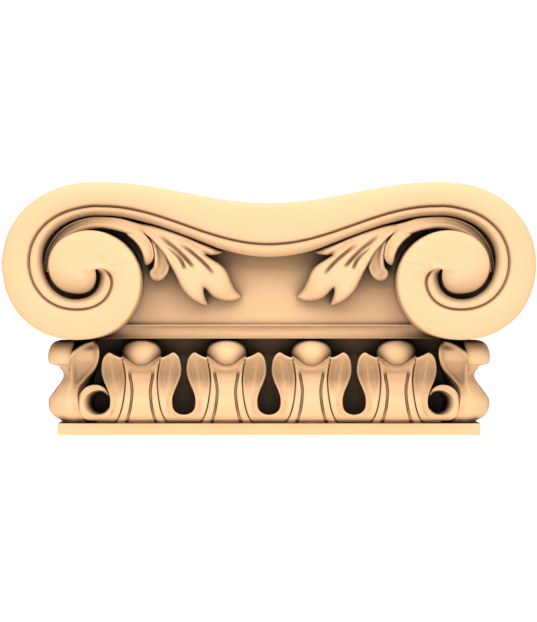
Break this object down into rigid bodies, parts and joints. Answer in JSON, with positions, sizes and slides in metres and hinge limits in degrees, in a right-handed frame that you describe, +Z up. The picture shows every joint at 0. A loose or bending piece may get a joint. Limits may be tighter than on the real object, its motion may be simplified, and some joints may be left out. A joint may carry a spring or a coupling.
{
  "type": "ionic pilaster capital",
  "caption": "Carved pale wood ionic pilaster capital with a saddle-shaped scroll band, volutes, acanthus leaves and an egg-and-leaf course, flat at the back.",
  "frame": {"origin": "middle of the underside, at the bottom centre of the bounding box", "axes": "+X along the width, +Z up, the carved front faces -Y and the flat wall face faces +Y"},
  "size_m": [0.267, 0.076, 0.1266],
  "materials": {
    "limewood": "carved and sanded smooth, matte"
  },
  "bodies": {
    "root": {"capital": "limewood"}
  },
  "joints": []
}
